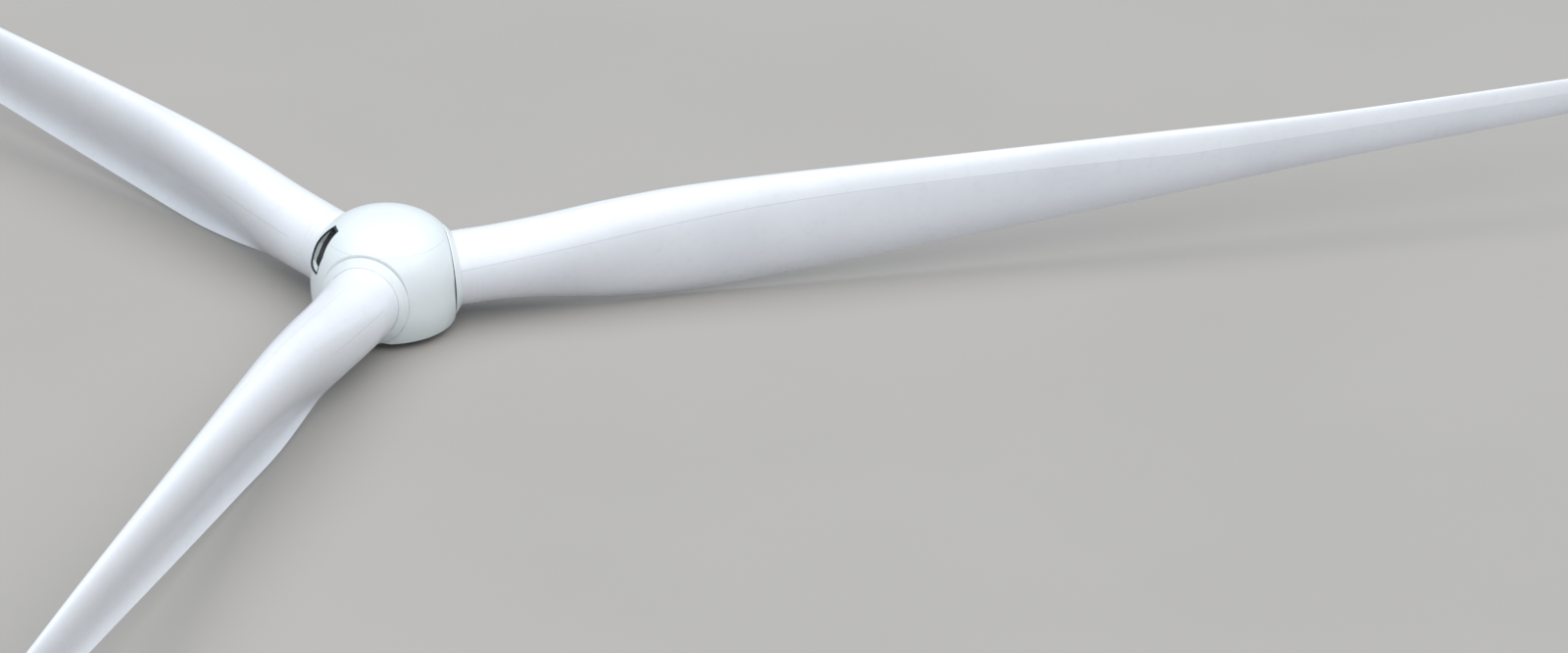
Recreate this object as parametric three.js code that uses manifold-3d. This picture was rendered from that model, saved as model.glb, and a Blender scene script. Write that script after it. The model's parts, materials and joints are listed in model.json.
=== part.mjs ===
// Three-bladed wind turbine rotor, a scale model at 1:10 of a rotor 105 m across.
// It stands nose up: +Z is the rotor axis towards the nose, and the origin is the centre of the flange
// face that bolts to the main shaft. Lengths are millimetres of the model, so 1 mm is 10 mm full size.
// Blade b lies along +X, blade a 120 degrees and blade c 240 degrees round from it, seen from the nose.
// The blades are feathered at rest: leading edges up, trailing edges down.
import * as THREE from "three";
import { mergeVertices } from "three/addons/utils/BufferGeometryUtils.js";
import Module from "manifold-3d";

const wasm = await Module();
wasm.setup();

// Driving dimensions
const ROTOR_RADIUS = 5250;
const PLANE_HEIGHT = 165; // blade axes cross the rotor axis at this height above the flange face
const CONE = THREE.MathUtils.degToRad(3.3); // blades lean towards the nose
const BLADE_TURNS = { b: 0, a: 120, c: 240 };
const SEAT_GAP = 0.3; // between pieces that touch
const RUNNING_GAP = 5; // between pieces that move past each other
const CUT_MARGIN = 1; // how far a cutting shape reaches past what it cuts

// Hub casting: a hollow ball with flat faces for the shaft, the nose and the blade bearings
const BALL_RADIUS = 196;
const BALL_WALL = 16;
const BALL_SIDES = 26;
const BALL_RINGS = 14;
const BEARING_SEAT = 150; // distance of each bearing seat from the rotor axis
const FLANGE_RADIUS = 150;
const FLANGE_DEPTH = 26;
const BORE_RADIUS = 131.6;
const SHAFT_FLANGE_RADIUS = 122;
const SHAFT_FLANGE_DEPTH = 20;
const SHAFT_BORE_RADIUS = 98;
const NOSE_PAD_HEIGHT = 165; // flat face towards the nose, above the blade plane
const NOSE_HOLE_RADIUS = 90; // access hole in the nose face
const NOSE_SEAT_RADIUS = 100; // recess round the hole, in which its plate lies
const NOSE_PLATE_DEPTH = 8;

// Blade bearings
const INNER_RING_RADIUS = 130.4;
const INNER_RING_BORE = 112;
const OUTER_RING_RADIUS = 148;
const OUTER_RING_DEPTH = 13;
const ROOT_FACE = 172.3; // distance of the blade's root face from the rotor axis
const RING_SIDES = 32;

// Pitch drives
const DRIVE_OFFSET = 95; // below the blade axis
const SHELF_FACE = 124;
const SHELF_DEPTH = 12;
const SHELF_EDGE = 70; // how far below the blade axis the shelf starts
const SHELF_ROOTING = 4; // how far the shelf reaches into the casting
const DRIVE_SIDES = 16;
const PINION_RADIUS = 12;
const DRIVE_SHAFT_RADIUS = 9;
const GEARBOX_RADIUS = 18;
const MOTOR_RADIUS = 14;
const MOTOR_END = 42;
const MOTOR_LENGTH = 52;

// Cover: a body of revolution with a squarish rounded profile
const COVER_RADIUS = 261.6;
const COVER_APEX = 247.5; // above the blade plane
const COVER_RIM_RADIUS = 239.6;
const COVER_RIM_DROP = 136.6; // rim below the blade plane
const COVER_POWER = 2.41;
const COVER_WALL = 4;
const COVER_SIDES = 54;
const DOME_STEPS = 8;
const SIDE_STEPS = 7;
const SKIRT_STEPS = 5;
const SEAM_HEIGHT = 172; // joint between the nose dome and the side panels, above the blade plane
const LIP_WIDTH = 18;
const OPENING_PLANE = 212.7;
const OPENING_RADIUS = 150;
const OPENING_FLAT_RADIUS = 171.5; // the flat face round each opening lies within this circle
const PANEL_TURNS = { 1: 60, 2: 180, 3: 300 };

// Opening for lifting, opposite blade b: widest at the shoulders, narrow at the top. Heights are
// above the blade plane.
const SLOT_TURN = 180;
const SLOT_FLOOR = 64;
const SLOT_SHOULDER = 130;
const SLOT_TOP = 208;
const SLOT_FLOOR_HALF = 57;
const SLOT_SHOULDER_HALF = 60;
const SLOT_TOP_HALF = 25;
const SLOT_CORNER = 10; // radius of the corners at the floor
const SLOT_NEAR = 100; // where the cut starts, from the rotor axis
const SLOT_FRAME_WALL = 4;
const SLOT_FRAME_FLOOR = 235; // distance of the frame's inner edge from the rotor axis at the floor
const SLOT_FRAME_LEAN = 0.44; // how much nearer that edge comes for each millimetre up
const SEAL_WIDTH = 3.5;
const SEAL_STAND = 1.2; // above the cover's outer face
const SEAL_TUCK = 1; // past the cover's inner face

// What carries the cover
const STAY_HEIGHT = -105; // below the blade plane
const STAY_DEPTH = 12;
const STAY_WIDTH = 34;
const NOSE_FRAME_RADIUS = 72;
const NOSE_FRAME_WALL = 6;

// Lifting lug on the casting, behind the opening
const LUG_ANGLE = THREE.MathUtils.degToRad(26);
const LUG_THICKNESS = 16;
const LUG_FOOT_HALF = 36;
const LUG_HEAD_RADIUS = 18;
const LUG_EYE_RADIUS = 9;
const LUG_REACH = 216; // eye centre from the hub centre

// Blade root collar, which turns with the blade in the cover's opening
const COLLAR_GAP = 3.3; // between the flat face round the opening and the collar
const COLLAR_BACK = OPENING_PLANE + COLLAR_GAP;
const COLLAR_EDGE = 221;
const COLLAR_FRONT = 242;
const COLLAR_RADIUS = 158; // wider than the opening, which it covers
const COLLAR_NOSE = 2; // width left at the front of the bevel
const COLLAR_SIDES = 40;

// Blade: sections from root to tip. Radius and chord are millimetres of the model; thickness and
// axis are shares of the chord, the axis counted from the leading edge; twist is in degrees. Hollow is
// the depth of the hollow along the pressure side, and fold is where it is deepest, both as shares of
// the chord.
const ROOT_RADIUS = 130;
const ROOT_BORE = 118;
const ROOT_BORE_DEPTH = 90;
const SECTION_POINTS = 32;
const SECTIONS = [
  { radius: ROOT_FACE, chord: 260, thickness: 1.0, axis: 0.5, twist: 3.4, foil: 0, hollow: 0, fold: 0.9 },
  { radius: 330, chord: 260, thickness: 1.0, axis: 0.5, twist: 3.4, foil: 0, hollow: 0, fold: 0.9 },
  { radius: 550, chord: 296, thickness: 0.79, axis: 0.472, twist: 2.7, foil: 0.35, hollow: 0, fold: 0.9 },
  { radius: 800, chord: 359, thickness: 0.55, axis: 0.451, twist: 2.2, foil: 0.8, hollow: 0.08, fold: 0.87 },
  { radius: 1050, chord: 391, thickness: 0.427, axis: 0.444, twist: 2.0, foil: 1, hollow: 0.09, fold: 0.83 },
  { radius: 1400, chord: 375, thickness: 0.346, axis: 0.449, twist: 1.7, foil: 1, hollow: 0.075, fold: 0.81 },
  { radius: 2000, chord: 327, thickness: 0.274, axis: 0.439, twist: 1.0, foil: 1, hollow: 0.062, fold: 0.8 },
  { radius: 2750, chord: 257, thickness: 0.224, axis: 0.428, twist: 0.1, foil: 1, hollow: 0.052, fold: 0.8 },
  { radius: 3420, chord: 190, thickness: 0.19, axis: 0.406, twist: -0.7, foil: 1, hollow: 0.045, fold: 0.8 },
  { radius: 4300, chord: 144, thickness: 0.17, axis: 0.391, twist: -1.7, foil: 1, hollow: 0.04, fold: 0.8 },
  { radius: 5000, chord: 105, thickness: 0.16, axis: 0.381, twist: -2.5, foil: 1, hollow: 0.035, fold: 0.8 },
];
const STATIONS = [
  ROOT_FACE, 330, 400, 475, 550, 635, 720, 800, 880, 960, 1050, 1160, 1280, 1400, 1600, 1800, 2000,
  2250, 2500, 2750, 3085, 3420, 3860, 4300, 4650, 5000,
];
const TIP_START = 5000;
const TIP_STEPS = [0.4, 0.7, 0.88, 0.97, 1];
const TIP_CHORD_SHARE = 0.16; // chord left at the very tip
const CAMBER = 0.05; // largest camber, as a share of the chord, a third of the way from the trailing edge
const CAMBER_PEAK = 6.75; // makes the largest value of s * s * (1 - s) one
const SUCTION_SHARE = 0.25; // of the hollow, by which the suction side is fuller
const BEND = 104; // the tip stands this far to the pressure side of the blade's axis
const BEND_START = 300;
const BEND_POWER = 2.4;
const EDGE_THICKNESS = 0.006;

const COLOURS = {
  gelcoat: { color: 0xe9ebec, roughness: 0.35, metalness: 0 },
  blade: { color: 0xececef, roughness: 0.32, metalness: 0 },
  collar: { color: 0xe6e8e9, roughness: 0.4, metalness: 0 },
  casting: { color: 0xc9cbc8, roughness: 0.55, metalness: 0.1 },
  steel: { color: 0x9a9ea2, roughness: 0.4, metalness: 0.8 },
  motor: { color: 0x5b6670, roughness: 0.5, metalness: 0.3 },
  bracket: { color: 0x3c444b, roughness: 0.6, metalness: 0.4 },
  rubber: { color: 0x1c1e20, roughness: 0.8, metalness: 0 },
};

const rotor = new THREE.Group();
const hubCentre = new THREE.Vector3(0, 0, PLANE_HEIGHT);

// Solids and meshes

function solidOf(geometry) {
  const bare = new THREE.BufferGeometry();
  bare.setAttribute("position", geometry.getAttribute("position"));
  bare.setIndex(geometry.index);
  const merged = mergeVertices(bare, 1e-3);
  return new wasm.Manifold(
    new wasm.Mesh({
      numProp: 3,
      vertProperties: merged.attributes.position.array,
      triVerts: new Uint32Array(merged.index.array),
    }),
  );
}

function geometryOf(solid) {
  const mesh = solid.getMesh();
  const geometry = new THREE.BufferGeometry();
  geometry.setAttribute("position", new THREE.BufferAttribute(new Float32Array(mesh.vertProperties), 3));
  geometry.setIndex(new THREE.BufferAttribute(new Uint32Array(mesh.triVerts), 1));
  geometry.computeVertexNormals();
  return geometry;
}

function addNode(name, geometry, colour) {
  const mesh = new THREE.Mesh(geometry, new THREE.MeshStandardMaterial(COLOURS[colour]));
  mesh.name = name;
  rotor.add(mesh);
}

// A closed profile of [radius, height] points, counter-clockwise, turned round the Z axis.
function turned(profile, sides) {
  const points = profile.map(([radius, height]) => new THREE.Vector2(radius, height));
  return new THREE.LatheGeometry(points, sides).rotateX(Math.PI / 2);
}

// The same for a closed loop of points, which ends where it began.
function turnedRing(profile, sides) {
  return turned([...profile, profile[0]], sides);
}

// A ring round the X axis between two radii and two distances from the rotor axis.
function ringAlongX(inner, outer, near, far, sides) {
  const profile = [[inner, near], [outer, near], [outer, far], [inner, far]];
  return turnedRing(profile, sides).rotateY(Math.PI / 2);
}

function discAlongX(radius, near, far, sides) {
  return turned([[0, near], [radius, near], [radius, far], [0, far]], sides).rotateY(Math.PI / 2);
}

// Moves a geometry made along +X to the blade that is turned round by so many degrees.
function toBlade(geometry, degrees) {
  return geometry
    .rotateY(-CONE)
    .rotateZ(THREE.MathUtils.degToRad(degrees))
    .translate(0, 0, PLANE_HEIGHT);
}

// Moves a geometry made in the X-Z plane through the hub centre round the rotor axis.
function aroundHub(geometry, degrees) {
  return geometry.rotateZ(THREE.MathUtils.degToRad(degrees)).translate(0, 0, PLANE_HEIGHT);
}

// An outline in the X-Z plane with a thickness along Y.
function plate(outline, thickness) {
  const shape = new THREE.Shape(outline.map(([x, z]) => new THREE.Vector2(x, z)));
  return new THREE.ExtrudeGeometry(shape, { depth: thickness, bevelEnabled: false })
    .translate(0, 0, -thickness / 2)
    .rotateX(Math.PI / 2);
}

function forEachBlade(make) {
  for (const [letter, degrees] of Object.entries(BLADE_TURNS)) make(letter, degrees);
}

// Hub casting

function ball(radius) {
  const sphere = new THREE.SphereGeometry(radius, BALL_SIDES, BALL_RINGS);
  return solidOf(sphere.rotateX(Math.PI / 2).translate(...hubCentre));
}

function hubCasting() {
  const top = PLANE_HEIGHT + NOSE_PAD_HEIGHT;
  const slab = new THREE.BoxGeometry(4 * BALL_RADIUS, 4 * BALL_RADIUS, top).translate(0, 0, top / 2);
  const flange = turned(
    [[0, 0], [SHAFT_FLANGE_RADIUS, 0], [SHAFT_FLANGE_RADIUS, SHAFT_FLANGE_DEPTH], [0, SHAFT_FLANGE_DEPTH]],
    RING_SIDES,
  );
  let body = ball(BALL_RADIUS).intersect(solidOf(slab)).add(solidOf(flange));
  const flangeBack = BEARING_SEAT - FLANGE_DEPTH;
  forEachBlade((letter, degrees) => {
    const disc = discAlongX(FLANGE_RADIUS, flangeBack, BEARING_SEAT, RING_SIDES);
    body = body.add(solidOf(toBlade(disc, degrees)));
  });
  forEachBlade((letter, degrees) => {
    const outside = discAlongX(2 * BALL_RADIUS, BEARING_SEAT, 2 * BALL_RADIUS, RING_SIDES);
    body = body.subtract(solidOf(toBlade(outside, degrees)));
  });
  const room = ball(BALL_RADIUS - BALL_WALL);
  const roomHeight = top - BALL_WALL;
  const roomSlab = new THREE.BoxGeometry(4 * BALL_RADIUS, 4 * BALL_RADIUS, roomHeight - BALL_WALL);
  roomSlab.translate(0, 0, (roomHeight + BALL_WALL) / 2);
  body = body.subtract(room.intersect(solidOf(roomSlab)));
  body = body.subtract(solidOf(turned(
    [
      [0, roomHeight - CUT_MARGIN], [NOSE_HOLE_RADIUS, roomHeight - CUT_MARGIN],
      [NOSE_HOLE_RADIUS, top - NOSE_PLATE_DEPTH], [NOSE_SEAT_RADIUS, top - NOSE_PLATE_DEPTH],
      [NOSE_SEAT_RADIUS, top + CUT_MARGIN], [0, top + CUT_MARGIN],
    ],
    RING_SIDES,
  )));
  const bore = turned(
    [
      [0, -CUT_MARGIN], [SHAFT_BORE_RADIUS, -CUT_MARGIN], [SHAFT_BORE_RADIUS, PLANE_HEIGHT / 2],
      [0, PLANE_HEIGHT / 2],
    ],
    RING_SIDES,
  );
  body = body.subtract(solidOf(bore));
  forEachBlade((letter, degrees) => {
    const hole = discAlongX(BORE_RADIUS, flangeBack - FLANGE_DEPTH, BEARING_SEAT + CUT_MARGIN, RING_SIDES);
    body = body.subtract(solidOf(toBlade(hole, degrees)));
  });
  forEachBlade((letter, degrees) => {
    body = body.add(driveShelf(degrees));
  });
  return body;
}

// The casting's lowest slice is the flange ring for the main shaft, a solid of its own.
function slice(body, low, high) {
  const slab = new THREE.BoxGeometry(4 * BALL_RADIUS, 4 * BALL_RADIUS, high - low);
  return body.intersect(solidOf(slab.translate(0, 0, (low + high) / 2)));
}

// The plate that closes the access hole at the casting's nose end.
function nosePlate() {
  const top = PLANE_HEIGHT + NOSE_PAD_HEIGHT;
  const bottom = top - NOSE_PLATE_DEPTH + SEAT_GAP;
  const radius = (NOSE_SEAT_RADIUS - SEAT_GAP) * Math.cos(Math.PI / RING_SIDES);
  return turned([[0, bottom], [radius, bottom], [radius, top], [0, top]], RING_SIDES);
}

// The shelf across the lower part of a blade bore, with the hole for the drive's shaft.
function driveShelf(degrees) {
  const reach = BORE_RADIUS + SHELF_ROOTING;
  const disc = solidOf(discAlongX(reach, SHELF_FACE, SHELF_FACE + SHELF_DEPTH, RING_SIDES));
  const below = new THREE.BoxGeometry(4 * SHELF_DEPTH, 2 * reach, reach);
  below.translate(SHELF_FACE, 0, -SHELF_EDGE - reach / 2);
  const [near, far] = [SHELF_FACE - CUT_MARGIN, SHELF_FACE + SHELF_DEPTH + CUT_MARGIN];
  const hole = discAlongX(DRIVE_SHAFT_RADIUS + CUT_MARGIN, near, far, DRIVE_SIDES);
  hole.translate(0, 0, -DRIVE_OFFSET);
  const shelf = disc.intersect(solidOf(below)).subtract(solidOf(hole));
  return solidOf(toBlade(geometryOf(shelf), degrees));
}

// Bearings and drives

function bearingOuterRing(degrees) {
  const bore = (INNER_RING_RADIUS + SEAT_GAP) / Math.cos(Math.PI / RING_SIDES);
  const near = BEARING_SEAT + SEAT_GAP;
  return toBlade(ringAlongX(bore, OUTER_RING_RADIUS, near, near + OUTER_RING_DEPTH, RING_SIDES), degrees);
}

function bearingInnerRing(degrees) {
  const near = BEARING_SEAT + SEAT_GAP;
  const far = ROOT_FACE - SEAT_GAP;
  return toBlade(ringAlongX(INNER_RING_BORE, INNER_RING_RADIUS, near, far, RING_SIDES), degrees);
}

function pitchDrive(degrees) {
  const gearboxFace = SHELF_FACE - SEAT_GAP;
  const motorFace = MOTOR_END + MOTOR_LENGTH;
  const pinionBack = BEARING_SEAT - SEAT_GAP;
  const pinionFace = ROOT_FACE - RUNNING_GAP;
  const profile = [
    [0, MOTOR_END], [MOTOR_RADIUS, MOTOR_END], [MOTOR_RADIUS, motorFace], [GEARBOX_RADIUS, motorFace],
    [GEARBOX_RADIUS, gearboxFace], [DRIVE_SHAFT_RADIUS, gearboxFace], [DRIVE_SHAFT_RADIUS, pinionBack],
    [PINION_RADIUS, pinionBack], [PINION_RADIUS, pinionFace], [0, pinionFace],
  ];
  const drive = turned(profile, DRIVE_SIDES).rotateY(Math.PI / 2).translate(0, 0, -DRIVE_OFFSET);
  return toBlade(drive, degrees);
}

// Cover

// A point of the cover's profile, set in from the outside by so much: (r/R)^p + (z/H)^p = 1.
function coverPoint(angle, inset, below) {
  const power = 2 / COVER_POWER;
  const share = Math.pow(1 - Math.pow(COVER_RIM_RADIUS / COVER_RADIUS, COVER_POWER), 1 / COVER_POWER);
  const reach = below ? -COVER_RIM_DROP / share : COVER_APEX - inset;
  const radius = (COVER_RADIUS - inset) * Math.pow(Math.max(Math.cos(angle), 0), power);
  return [radius, reach * Math.pow(Math.max(Math.sin(angle), 0), power)];
}

// The angle at which the profile reaches a height above or below the blade plane.
function coverAngle(height, inset, below) {
  const reach = Math.abs(coverPoint(Math.PI / 2, inset, below)[1]);
  return Math.asin(Math.pow(Math.abs(height) / reach, COVER_POWER / 2));
}

function coverArc(from, to, steps, inset, below) {
  const points = [];
  for (let i = 0; i <= steps; i++) {
    points.push(coverPoint(from + ((to - from) * i) / steps, inset, below));
  }
  return points;
}

function domeSolid() {
  const height = SEAM_HEIGHT + SEAT_GAP;
  const outer = coverArc(coverAngle(height, 0), Math.PI / 2, DOME_STEPS, 0);
  const inner = coverArc(Math.PI / 2, coverAngle(height, COVER_WALL), DOME_STEPS, COVER_WALL);
  outer[outer.length - 1][0] = 0;
  inner[0][0] = 0;
  return solidOf(turned([...inner, ...outer], COVER_SIDES).translate(0, 0, PLANE_HEIGHT));
}

function sideSolid() {
  const rim = coverAngle(COVER_RIM_DROP, 0, true);
  const outerBelow = coverArc(rim, 0, SKIRT_STEPS, 0, true);
  const outerAbove = coverArc(0, coverAngle(SEAM_HEIGHT, 0), SIDE_STEPS, 0).slice(1);
  const innerAbove = coverArc(coverAngle(SEAM_HEIGHT, COVER_WALL), 0, SIDE_STEPS, COVER_WALL);
  const innerBelow = coverArc(0, rim, SKIRT_STEPS, COVER_WALL, true).slice(1, -1);
  const lipRadius = COVER_RIM_RADIUS - COVER_WALL - LIP_WIDTH;
  const lipTop = COVER_WALL - COVER_RIM_DROP;
  const lip = [
    [COVER_RIM_RADIUS - COVER_WALL, lipTop], [lipRadius, lipTop], [lipRadius, -COVER_RIM_DROP],
  ];
  const profile = [...outerBelow, ...outerAbove, ...innerAbove, ...innerBelow, ...lip];
  return solidOf(turnedRing(profile, COVER_SIDES).translate(0, 0, PLANE_HEIGHT));
}

// The whole body within the cover's outer face moved in by so much, for trimming other pieces.
function coverBody(inset) {
  const seam = coverAngle(SEAM_HEIGHT, inset);
  const side = coverArc(0, seam, SIDE_STEPS, inset);
  const dome = coverArc(seam, Math.PI / 2, DOME_STEPS, inset).slice(1);
  dome[dome.length - 1][0] = 0;
  const below = coverArc(coverAngle(COVER_RIM_DROP, 0, true), 0, SKIRT_STEPS, inset, true).slice(0, -1);
  const foot = [0, below[0][1]];
  return solidOf(turned([foot, ...below, ...side, ...dome], COVER_SIDES).translate(0, 0, PLANE_HEIGHT));
}

// The room inside the cover, smaller than it by the seat gap.
function insideCover() {
  return coverBody(COVER_WALL + SEAT_GAP);
}

// The cover's wall with a flat flange at each blade's opening, between the given heights.
function withOpenings(wall, low, high) {
  const far = 2 * COVER_RADIUS;
  const band = new THREE.BoxGeometry(2 * far, 2 * far, high - low);
  const within = coverBody(0).intersect(solidOf(band.translate(0, 0, PLANE_HEIGHT + (low + high) / 2)));
  let left = wall;
  forEachBlade((letter, degrees) => {
    const back = OPENING_PLANE - COVER_WALL;
    const flange = solidOf(toBlade(discAlongX(OPENING_FLAT_RADIUS, back, far, COLLAR_SIDES), degrees));
    left = left.add(flange.intersect(within));
  });
  forEachBlade((letter, degrees) => {
    const hole = discAlongX(OPENING_RADIUS, BEARING_SEAT, far, COLLAR_SIDES);
    const beyond = discAlongX(OPENING_FLAT_RADIUS, OPENING_PLANE, far, COLLAR_SIDES);
    left = left.subtract(solidOf(toBlade(hole, degrees))).subtract(solidOf(toBlade(beyond, degrees)));
  });
  return left;
}

// A bar through the opening for lifting, wider than it by so much on every side.
function slotBar(wider) {
  const floor = SLOT_FLOOR - wider;
  const side = SLOT_FLOOR_HALF + wider;
  const corner = SLOT_CORNER + wider;
  const shape = new THREE.Shape();
  shape.moveTo(corner - side, floor);
  shape.absarc(side - corner, floor + corner, corner, -Math.PI / 2, 0, false);
  shape.lineTo(SLOT_SHOULDER_HALF + wider, SLOT_SHOULDER);
  shape.lineTo(SLOT_TOP_HALF + wider, SLOT_TOP + wider);
  shape.lineTo(-SLOT_TOP_HALF - wider, SLOT_TOP + wider);
  shape.lineTo(-SLOT_SHOULDER_HALF - wider, SLOT_SHOULDER);
  shape.absarc(corner - side, floor + corner, corner, Math.PI, 1.5 * Math.PI, false);
  const bar = new THREE.ExtrudeGeometry(shape, {
    depth: 2 * COVER_RADIUS - SLOT_NEAR,
    bevelEnabled: false,
    curveSegments: 4,
  });
  bar.rotateX(Math.PI / 2).rotateZ(Math.PI / 2).translate(SLOT_NEAR, 0, 0);
  return solidOf(aroundHub(bar, SLOT_TURN));
}

// The frame that stiffens the opening's edge inside the cover, with a straight inner edge.
function slotFrame() {
  const high = 2 * COVER_RADIUS;
  const edgeAt = (height) => SLOT_FRAME_FLOOR - SLOT_FRAME_LEAN * (height - SLOT_FLOOR);
  const outline = [[edgeAt(0), 0], [high, 0], [high, COVER_APEX], [edgeAt(COVER_APEX), COVER_APEX]];
  const outside = solidOf(aroundHub(plate(outline, high), SLOT_TURN));
  return slotBar(SLOT_FRAME_WALL).subtract(slotBar(0)).intersect(insideCover()).intersect(outside);
}

// The dark edging round the opening.
function slotSeal() {
  const shell = coverBody(-SEAL_STAND).subtract(coverBody(COVER_WALL + SEAL_TUCK));
  return slotBar(-SEAT_GAP).subtract(slotBar(-SEAT_GAP - SEAL_WIDTH)).intersect(shell);
}

// A third of the space round the rotor axis, short of its neighbours by half the seat gap.
function third(degrees) {
  const reach = 2 * COVER_RADIUS;
  const half = THREE.MathUtils.degToRad(60);
  const start = SEAT_GAP / 2 / Math.sin(half);
  const shape = new THREE.Shape([
    new THREE.Vector2(start, 0),
    new THREE.Vector2(start + reach * Math.cos(half), -reach * Math.sin(half)),
    new THREE.Vector2(start + reach, -reach * Math.sin(half)),
    new THREE.Vector2(start + reach, reach * Math.sin(half)),
    new THREE.Vector2(start + reach * Math.cos(half), reach * Math.sin(half)),
  ]);
  const wedge = new THREE.ExtrudeGeometry(shape, { depth: 4 * COVER_RADIUS, bevelEnabled: false });
  return solidOf(aroundHub(wedge.translate(0, 0, -2 * COVER_RADIUS), degrees));
}

// What carries the cover, and the lug

function coverStay(degrees) {
  const low = STAY_HEIGHT - STAY_DEPTH / 2;
  const high = STAY_HEIGHT + STAY_DEPTH / 2;
  const near = BALL_RADIUS / 2;
  const outline = [[near, low], [COVER_RADIUS, low], [COVER_RADIUS, high], [near, high]];
  const bar = solidOf(aroundHub(plate(outline, STAY_WIDTH), degrees));
  return bar.intersect(insideCover()).subtract(ball(BALL_RADIUS + SEAT_GAP));
}

function noseFrame() {
  const low = NOSE_PAD_HEIGHT + SEAT_GAP;
  const [inner, outer] = [NOSE_FRAME_RADIUS - NOSE_FRAME_WALL, NOSE_FRAME_RADIUS];
  const profile = [[inner, low], [outer, low], [outer, COVER_APEX], [inner, COVER_APEX]];
  return solidOf(turnedRing(profile, RING_SIDES).translate(0, 0, PLANE_HEIGHT)).intersect(insideCover());
}

function liftingLug() {
  const shape = new THREE.Shape();
  shape.moveTo(BALL_RADIUS / 2, -LUG_FOOT_HALF);
  shape.lineTo(LUG_REACH, -LUG_HEAD_RADIUS);
  shape.absarc(LUG_REACH, 0, LUG_HEAD_RADIUS, -Math.PI / 2, Math.PI / 2, false);
  shape.lineTo(BALL_RADIUS / 2, LUG_FOOT_HALF);
  const eye = new THREE.Path();
  eye.absarc(LUG_REACH, 0, LUG_EYE_RADIUS, 0, 2 * Math.PI, true);
  shape.holes.push(eye);
  const body = new THREE.ExtrudeGeometry(shape, {
    depth: LUG_THICKNESS,
    bevelEnabled: false,
    curveSegments: 8,
  });
  body.translate(0, 0, -LUG_THICKNESS / 2).rotateX(Math.PI / 2).rotateY(-LUG_ANGLE);
  return solidOf(aroundHub(body, SLOT_TURN)).subtract(ball(BALL_RADIUS + SEAT_GAP));
}

// Blade

// A smooth value from the section table at a distance from the rotor axis.
function sectionValue(key, radius) {
  const last = SECTIONS.length - 1;
  let i = 0;
  while (i < last - 1 && SECTIONS[i + 1].radius < radius) i++;
  const [a, b] = [SECTIONS[i], SECTIONS[i + 1]];
  const slope = (low, high) =>
    (SECTIONS[high][key] - SECTIONS[low][key]) / (SECTIONS[high].radius - SECTIONS[low].radius);
  const span = b.radius - a.radius;
  const t = Math.min((radius - a.radius) / span, 1);
  const startSlope = slope(Math.max(i - 1, 0), i + 1) * span * (i > 1 ? 1 : 0);
  const endSlope = slope(i, Math.min(i + 2, last)) * span * (i > 0 ? 1 : 0);
  const t2 = t * t;
  const t3 = t2 * t;
  return (
    (2 * t3 - 3 * t2 + 1) * a[key] + (t3 - 2 * t2 + t) * startSlope +
    (3 * t2 - 2 * t3) * b[key] + (t3 - t2) * endSlope
  );
}

// Half thickness of a wing section of unit chord, from leading edge 0 to trailing edge 1.
function halfThickness(s, thickness) {
  const form = 0.2969 * Math.sqrt(s) - 0.126 * s - 0.3516 * s ** 2 + 0.2843 * s ** 3 - 0.1036 * s ** 4;
  return 5 * thickness * form + (EDGE_THICKNESS * s) / 2;
}

// How far the blade's middle line stands off its axis towards the pressure side.
function bendAt(x) {
  return BEND * Math.pow(Math.max(x - BEND_START, 0) / (ROTOR_RADIUS - BEND_START), BEND_POWER);
}

// Depth of the hollow at s, as a share of its greatest depth, which it has at the fold.
function hollowAt(s, fold) {
  return (Math.pow(s / fold, fold / (1 - fold)) * (1 - s)) / (1 - fold);
}

// One section across the blade at a distance along X: a circle at the root that turns into a
// cambered wing section with a hollow near the trailing edge. The pressure side faces +Y and the
// leading edge +Z at rest.
function sectionRing(radius, chord, x) {
  const thickness = sectionValue("thickness", radius);
  const foil = sectionValue("foil", radius);
  const axis = sectionValue("axis", radius);
  const hollow = sectionValue("hollow", radius);
  const fold = sectionValue("fold", radius);
  const twist = THREE.MathUtils.degToRad(sectionValue("twist", radius));
  const ring = [];
  for (let k = 0; k < SECTION_POINTS; k++) {
    const angle = ((k + 0.5) * 2 * Math.PI) / SECTION_POINTS;
    const s = (1 + Math.cos(angle)) / 2;
    const side = Math.sin(angle) > 0 ? 1 : -1;
    const camber = -CAMBER * CAMBER_PEAK * s * s * (1 - s);
    const wing = side * halfThickness(s, thickness) + camber;
    const round = (Math.sin(angle) * thickness) / 2;
    const inward = hollow * hollowAt(s, fold) * (side > 0 ? 1 : SUCTION_SHARE);
    const across = chord * (round + (wing - round) * foil - inward);
    const along = chord * (axis - s);
    ring.push(
      new THREE.Vector3(
        x,
        bendAt(x) + across * Math.cos(twist) + along * Math.sin(twist),
        along * Math.cos(twist) - across * Math.sin(twist),
      ),
    );
  }
  return ring;
}

function circleRing(radius, x) {
  const ring = [];
  const twist = THREE.MathUtils.degToRad(SECTIONS[0].twist);
  for (let k = 0; k < SECTION_POINTS; k++) {
    const angle = ((k + 0.5) * 2 * Math.PI) / SECTION_POINTS + twist;
    ring.push(new THREE.Vector3(x, radius * Math.sin(angle), -radius * Math.cos(angle)));
  }
  return ring;
}

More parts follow.
